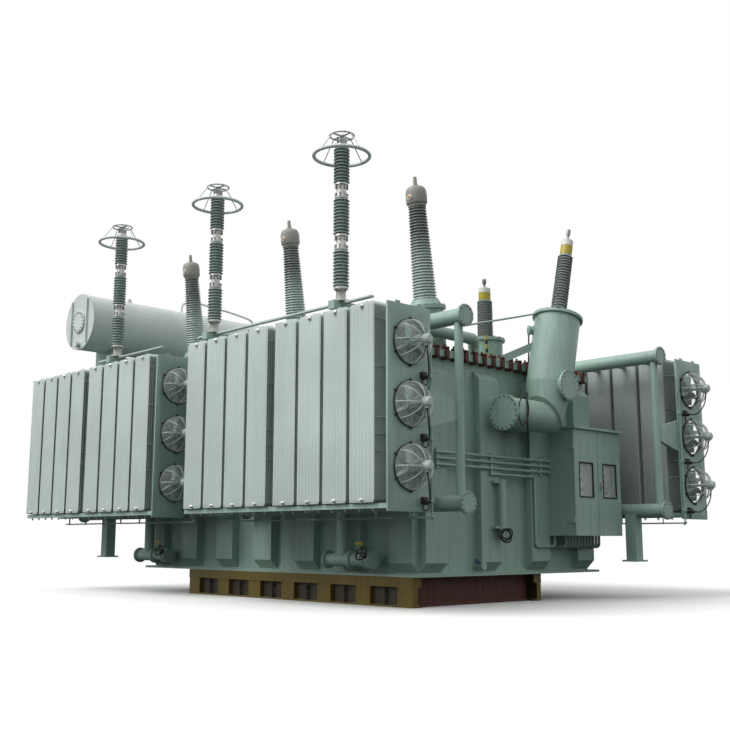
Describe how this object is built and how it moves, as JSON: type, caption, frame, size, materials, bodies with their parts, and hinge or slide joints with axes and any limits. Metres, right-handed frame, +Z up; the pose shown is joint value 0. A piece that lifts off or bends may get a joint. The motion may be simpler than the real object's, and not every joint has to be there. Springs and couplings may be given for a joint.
{
  "type": "power transformer",
  "caption": "Oil-filled power transformer with ribbed tank, radiator banks with fans, conservator, leaning bushings, arresters and control cabinet on a transport skid.",
  "frame": {"origin": "middle of the transport skid's underside", "axes": "+X along the tank towards the control cabinet, -Y the front long side, +Z up"},
  "size_m": [11.669, 8.03, 7.258],
  "materials": {
    "tank_paint": "satin grey-green paint",
    "yellow_paint": "worn yellow paint",
    "red_oxide": "matt red-oxide primer",
    "porcelain": "glazed grey",
    "bare_metal": "dull cast",
    "window_glass": "clear",
    "fan_blades": "satin"
  },
  "bodies": {
    "transformer": {"arrester_beams": "tank_paint", "arrester_fittings": "bare_metal", "arrester_units": "porcelain", "back_stiffeners": "tank_paint", "bottom_headers": "tank_paint", "cabinet_conduits": "tank_paint", "cabinet_panel": "tank_paint", "cabinet_shell": "tank_paint", "conservator_beams": "tank_paint", "conservator_cradle": "tank_paint", "conservator_ends": "tank_paint", "conservator_shell": "tank_paint", "end_stiffeners": "tank_paint", "fan_plate_back_left": "tank_paint", "fan_plate_back_right": "tank_paint", "fan_plate_front_left": "tank_paint", "fan_plate_front_right": "tank_paint", "front_stiffeners": "tank_paint", "header_links": "tank_paint", "header_posts": "tank_paint", "hv_heads": "bare_metal", "hv_porcelains": "porcelain", "hv_turrets": "tank_paint", "lv_caps": "bare_metal", "lv_cover_turret": "tank_paint", "lv_elbow_turret": "tank_paint", "lv_porcelains": "porcelain", "plate_brackets": "tank_paint", "radiator_frames": "tank_paint", "radiator_stubs": "tank_paint", "radiators_back_left": "tank_paint", "radiators_back_right": "tank_paint", "radiators_front_left": "tank_paint", "radiators_front_right": "tank_paint", "skid_back_beam": "yellow_paint", "skid_end_beams": "red_oxide", "skid_front_beam": "yellow_paint", "skid_inner_beams": "red_oxide", "support_legs": "tank_paint", "tank_body": "tank_paint", "tank_cover": "tank_paint", "top_headers": "tank_paint", "wall_conduits": "tank_paint"},
    "rotor_front_right_low": {"rotor_front_right_low": "fan_blades"},
    "rotor_front_right_middle": {"rotor_front_right_middle": "fan_blades"},
    "rotor_front_right_high": {"rotor_front_right_high": "fan_blades"},
    "rotor_front_left_low": {"rotor_front_left_low": "fan_blades"},
    "rotor_front_left_middle": {"rotor_front_left_middle": "fan_blades"},
    "rotor_front_left_high": {"rotor_front_left_high": "fan_blades"},
    "rotor_back_right_low": {"rotor_back_right_low": "fan_blades"},
    "rotor_back_right_middle": {"rotor_back_right_middle": "fan_blades"},
    "rotor_back_right_high": {"rotor_back_right_high": "fan_blades"},
    "rotor_back_left_low": {"rotor_back_left_low": "fan_blades"},
    "rotor_back_left_middle": {"rotor_back_left_middle": "fan_blades"},
    "rotor_back_left_high": {"rotor_back_left_high": "fan_blades"},
    "cabinet_left_door": {"cabinet_left_door": "tank_paint", "cabinet_left_window": "window_glass"},
    "cabinet_right_door": {"cabinet_right_door": "tank_paint", "cabinet_right_window": "window_glass"}
  },
  "joints": [
    {"name": "rotor_front_right_low_spin", "type": "hinge", "parent": "transformer", "child": "rotor_front_right_low", "pos_m": [4.006, -2.719, 2.001], "axis": [1, 0, 0], "continuous": true},
    {"name": "rotor_front_right_middle_spin", "type": "hinge", "parent": "transformer", "child": "rotor_front_right_middle", "pos_m": [4.006, -2.719, 2.879], "axis": [1, 0, 0], "continuous": true},
    {"name": "rotor_front_right_high_spin", "type": "hinge", "parent": "transformer", "child": "rotor_front_right_high", "pos_m": [4.006, -2.719, 3.757], "axis": [1, 0, 0], "continuous": true},
    {"name": "rotor_front_left_low_spin", "type": "hinge", "parent": "transformer", "child": "rotor_front_left_low", "pos_m": [-1.839, -2.719, 2.001], "axis": [1, 0, 0], "continuous": true},
    {"name": "rotor_front_left_middle_spin", "type": "hinge", "parent": "transformer", "child": "rotor_front_left_middle", "pos_m": [-1.839, -2.719, 2.879], "axis": [1, 0, 0], "continuous": true},
    {"name": "rotor_front_left_high_spin", "type": "hinge", "parent": "transformer", "child": "rotor_front_left_high", "pos_m": [-1.839, -2.719, 3.757], "axis": [1, 0, 0], "continuous": true},
    {"name": "rotor_back_right_low_spin", "type": "hinge", "parent": "transformer", "child": "rotor_back_right_low", "pos_m": [4.351, 4.379, 2.001], "axis": [1, 0, 0], "continuous": true},
    {"name": "rotor_back_right_middle_spin", "type": "hinge", "parent": "transformer", "child": "rotor_back_right_middle", "pos_m": [4.351, 4.379, 2.879], "axis": [1, 0, 0], "continuous": true},
    {"name": "rotor_back_right_high_spin", "type": "hinge", "parent": "transformer", "child": "rotor_back_right_high", "pos_m": [4.351, 4.379, 3.757], "axis": [1, 0, 0], "continuous": true},
    {"name": "rotor_back_left_low_spin", "type": "hinge", "parent": "transformer", "child": "rotor_back_left_low", "pos_m": [-1.494, 4.379, 2.001], "axis": [1, 0, 0], "continuous": true},
    {"name": "rotor_back_left_middle_spin", "type": "hinge", "parent": "transformer", "child": "rotor_back_left_middle", "pos_m": [-1.494, 4.379, 2.879], "axis": [1, 0, 0], "continuous": true},
    {"name": "rotor_back_left_high_spin", "type": "hinge", "parent": "transformer", "child": "rotor_back_left_high", "pos_m": [-1.494, 4.379, 3.757], "axis": [1, 0, 0], "continuous": true},
    {"name": "cabinet_left_door_swing", "type": "hinge", "parent": "transformer", "child": "cabinet_left_door", "pos_m": [3.592, 1.725, 2], "axis": [0, 0, -1], "range_deg": [0, 90]},
    {"name": "cabinet_right_door_swing", "type": "hinge", "parent": "transformer", "child": "cabinet_right_door", "pos_m": [3.592, 3.155, 2], "axis": [0, 0, 1], "range_deg": [0, 90]}
  ]
}
